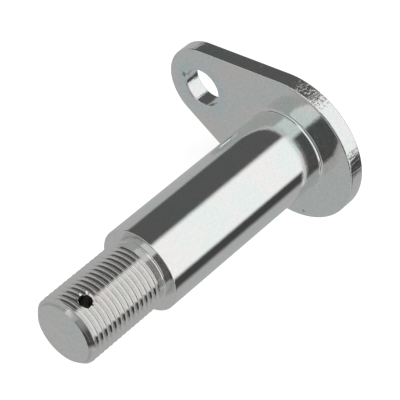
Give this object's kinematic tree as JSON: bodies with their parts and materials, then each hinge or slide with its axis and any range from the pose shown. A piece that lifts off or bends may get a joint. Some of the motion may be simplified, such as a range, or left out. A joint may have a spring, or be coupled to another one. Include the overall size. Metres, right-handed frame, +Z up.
{
  "type": "steering link pin",
  "caption": "Shouldered steering link pin: plain round shank on a teardrop retaining plate with a bolt hole, stepped down to a fine-threaded end drilled across for a split pin.",
  "frame": {"origin": "where the pin's axis crosses the back face of the retaining plate", "axes": "+Z runs up the pin from the plate to the threaded end; -X points from the pin to the plate's lobe with the bolt hole; +Y completes a right-handed frame"},
  "size_m": [0.078, 0.054, 0.113],
  "materials": {
    "zinc_plated_steel": "bright zinc plate over turned and blanked steel, lightly satin, with a faint blue-green and yellow passivation tint"
  },
  "bodies": {
    "root": {"link_pin": "zinc_plated_steel"}
  },
  "joints": []
}
